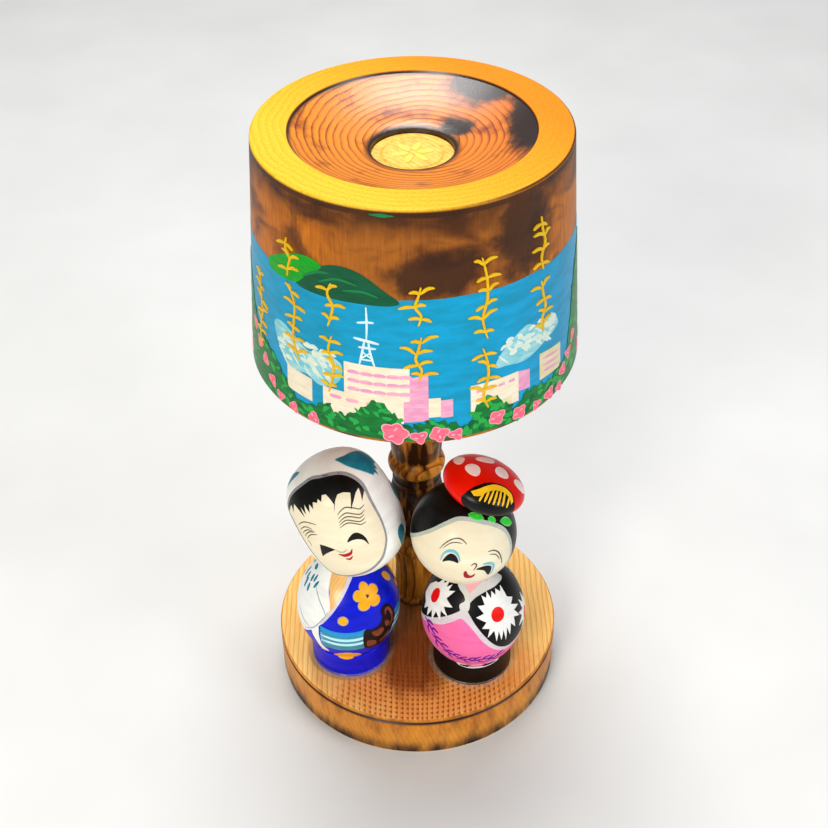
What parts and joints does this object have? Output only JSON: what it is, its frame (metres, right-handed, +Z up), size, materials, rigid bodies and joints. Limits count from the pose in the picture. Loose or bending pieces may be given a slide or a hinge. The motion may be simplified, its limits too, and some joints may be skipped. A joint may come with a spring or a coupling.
{
  "type": "kokeshi doll stand",
  "caption": "Turned wooden souvenir stand: two painted kokeshi dolls with turning heads on a round base, under a lamp-shaped post and painted shade.",
  "frame": {"origin": "centre of the base's round underside", "axes": "+Z up along the post, -Y towards the side that the two dolls face, +X to the right as seen from there"},
  "size_m": [0.0782, 0.0859, 0.159],
  "materials": {
    "base_wood": "scorched, brushed and lacquered",
    "post_wood": "scorched and lacquered",
    "shade_wood": "scorched, lacquered and painted",
    "plug_wood": "lacquered",
    "blue_paint": "gloss paint on wood",
    "white_paint": "gloss paint on wood",
    "black_paint": "gloss paint on wood",
    "face_paint": "gloss paint on wood",
    "red_paint": "gloss paint on wood",
    "peg_wood": "bare",
    "nail_steel": "bright wire",
    "glue": "clear"
  },
  "bodies": {
    "stand": {"base": "base_wood", "post": "post_wood", "shade": "shade_wood", "shade_plug": "plug_wood", "left_body": "blue_paint", "left_neck_peg": "peg_wood", "left_foot_nail": "nail_steel", "left_glue_bead": "glue", "right_body": "black_paint", "right_neck_peg": "peg_wood", "right_foot_nail": "nail_steel", "right_glue_bead": "glue"},
    "left_head": {"left_head": "white_paint"},
    "right_head": {"right_head": "face_paint", "right_bun": "red_paint", "right_bun_dowel": "peg_wood"}
  },
  "joints": [
    {"name": "left_head_turn", "type": "hinge", "parent": "stand", "child": "left_head", "pos_m": [-0.0181, -0.0131, 0.0482], "axis": [0, 0, 1], "continuous": true},
    {"name": "right_head_turn", "type": "hinge", "parent": "stand", "child": "right_head", "pos_m": [0.0145, -0.0165, 0.0482], "axis": [0, 0, 1], "continuous": true}
  ]
}
